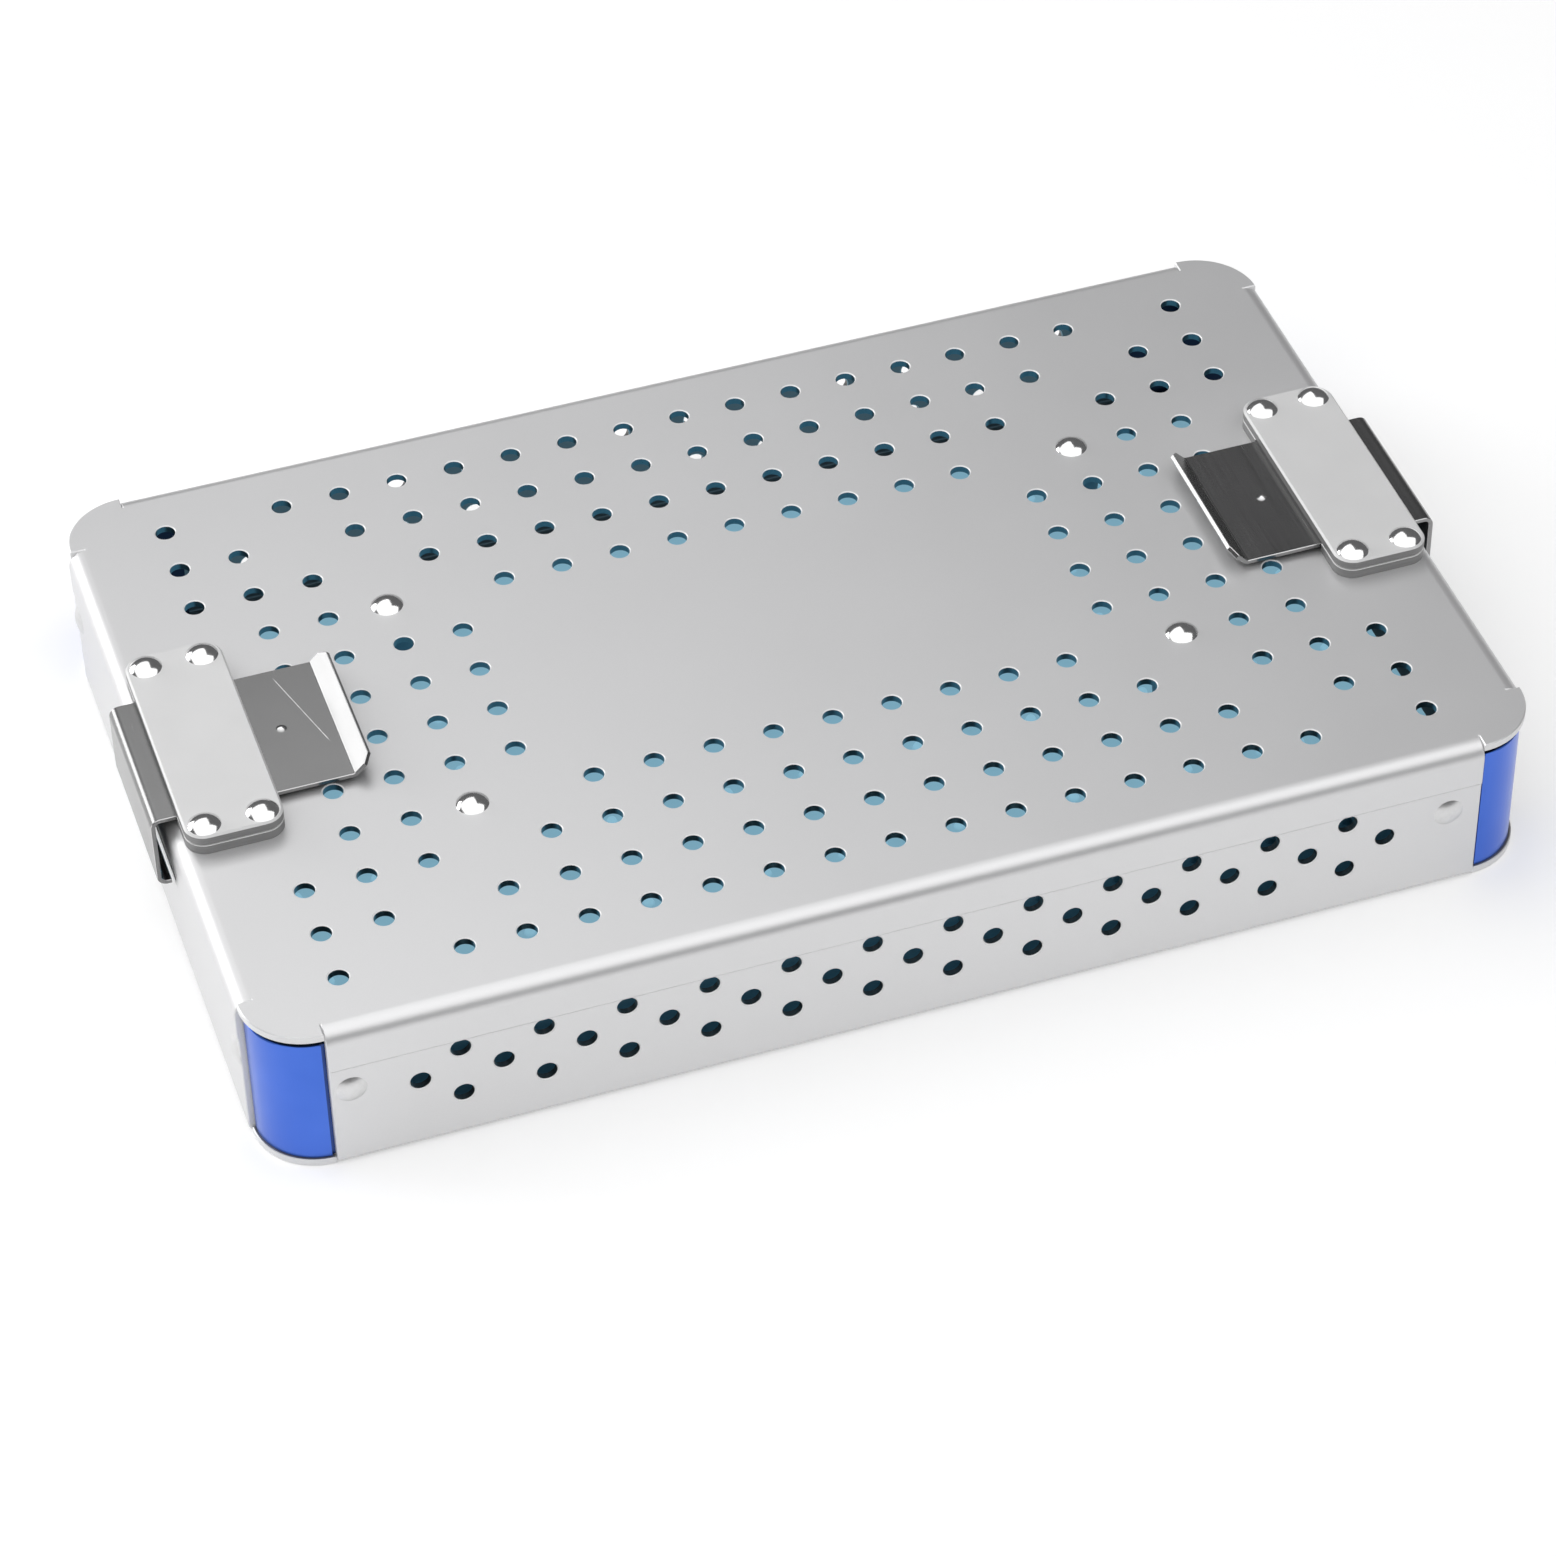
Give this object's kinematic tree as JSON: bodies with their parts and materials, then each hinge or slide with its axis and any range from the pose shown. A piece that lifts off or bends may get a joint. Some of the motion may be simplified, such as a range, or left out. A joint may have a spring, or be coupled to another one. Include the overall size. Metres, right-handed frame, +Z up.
{
  "type": "sterilization container",
  "caption": "Flat perforated aluminium instrument container with blue corner posts and a lift-off lid held by a slide latch at each end.",
  "frame": {"origin": "middle of the container's underside, on the surface it stands on", "axes": "+X along the container's length, +Y to the back, +Z up"},
  "size_m": [0.328, 0.2016, 0.0504],
  "materials": {
    "satin_sheet": "satin anodised sheet",
    "blue_anodised": "blue anodised extrusion",
    "blue_silicone": "matt silicone",
    "latch_plate": "fine blasted plate",
    "slider_steel": "brushed stainless",
    "bright_rivet": "polished",
    "plain_washer": "plain"
  },
  "bodies": {
    "base": {"base_tray": "satin_sheet", "silicone_mat": "blue_silicone", "long_wall_rivets": "bright_rivet", "end_wall_rivets": "bright_rivet", "corner_post_front_left": "blue_anodised", "corner_post_front_right": "blue_anodised", "corner_post_rear_left": "blue_anodised", "corner_post_rear_right": "blue_anodised"},
    "lid": {"lid_cover": "satin_sheet", "pad_rivets": "bright_rivet", "pad_washers": "plain_washer", "hold_down_pad_front_left": "blue_silicone", "hold_down_pad_front_right": "blue_silicone", "hold_down_pad_rear_left": "blue_silicone", "hold_down_pad_rear_right": "blue_silicone", "left_latch_cover": "latch_plate", "left_latch_spacer_front": "latch_plate", "left_latch_spacer_rear": "latch_plate", "left_latch_rivets": "bright_rivet", "right_latch_cover": "latch_plate", "right_latch_spacer_front": "latch_plate", "right_latch_spacer_rear": "latch_plate", "right_latch_rivets": "bright_rivet"},
    "left_latch": {"left_latch_slider": "slider_steel"},
    "right_latch": {"right_latch_slider": "slider_steel"}
  },
  "joints": [
    {"name": "lid_lift", "type": "slide", "parent": "base", "child": "lid", "axis": [0, 0, 1], "range_m": [0, 0.06]},
    {"name": "left_latch_slide", "type": "slide", "parent": "lid", "child": "left_latch", "axis": [-1, 0, 0], "range_m": [-0.0025, 0.0055]},
    {"name": "right_latch_slide", "type": "slide", "parent": "lid", "child": "right_latch", "axis": [1, 0, 0], "range_m": [-0.0025, 0.0055]}
  ]
}
